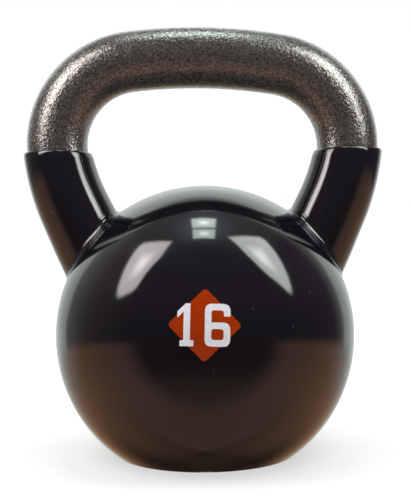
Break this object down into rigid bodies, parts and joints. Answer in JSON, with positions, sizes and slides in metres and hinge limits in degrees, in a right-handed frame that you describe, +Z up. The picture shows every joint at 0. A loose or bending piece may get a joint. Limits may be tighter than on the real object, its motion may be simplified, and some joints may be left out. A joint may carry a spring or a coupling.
{
  "type": "kettlebell",
  "caption": "Kettlebell: a flat-based iron ball and a thick bent bar handle with room for two hands, dipped in gloss vinyl up to a level rim on each leg, with a printed weight mark.",
  "frame": {"origin": "centre of the flat base the kettlebell stands on, midway between the two legs", "axes": "+Z up from the base to the grip, +X along the grip, -Y out of the face that carries the weight print"},
  "size_m": [0.1938, 0.1604, 0.2289],
  "materials": {
    "iron": "matte",
    "hammered_paint": "satin",
    "weld": "satin",
    "vinyl": "gloss",
    "orange_print": "satin",
    "white_print": "satin"
  },
  "bodies": {
    "root": {"ball_casting": "iron", "handle_bar": "hammered_paint", "weld_bead_left": "weld", "weld_bead_right": "weld", "vinyl_coat": "vinyl", "weight_badge": "orange_print", "weight_digit_1": "white_print", "weight_digit_6": "white_print"}
  },
  "joints": []
}
